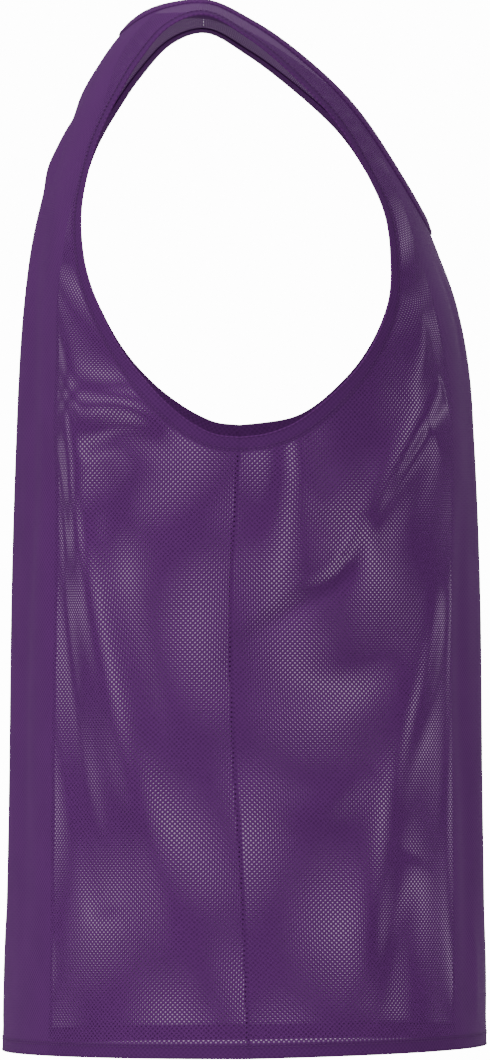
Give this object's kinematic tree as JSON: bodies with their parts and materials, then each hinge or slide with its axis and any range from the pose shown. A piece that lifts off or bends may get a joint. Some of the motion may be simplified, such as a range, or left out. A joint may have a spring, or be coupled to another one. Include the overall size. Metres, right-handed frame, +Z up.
{
  "type": "training bib",
  "caption": "Sleeveless mesh training vest in its worn hollow shape, open at neck, armholes and hem, worn over a shirt to mark a team.",
  "frame": {"origin": "midway between the two straps at the shoulder seams, where the wearer's shoulders carry the bib", "axes": "+Z up along the worn body, -Y out of the front, +X to the wearer's left"},
  "size_m": [0.425, 0.3315, 0.7152],
  "materials": {
    "mesh_cloth": "warp-knitted polyester mesh with small round holes, matt with a soft sheen, purple",
    "hem_cloth": "the same knit doubled and stitched, with no holes showing, purple"
  },
  "bodies": {
    "root": {"front_panel": "mesh_cloth", "back_panel": "mesh_cloth", "neck_binding": "hem_cloth", "armhole_hem_left": "hem_cloth", "armhole_hem_right": "hem_cloth", "bottom_hem": "hem_cloth"}
  },
  "joints": []
}
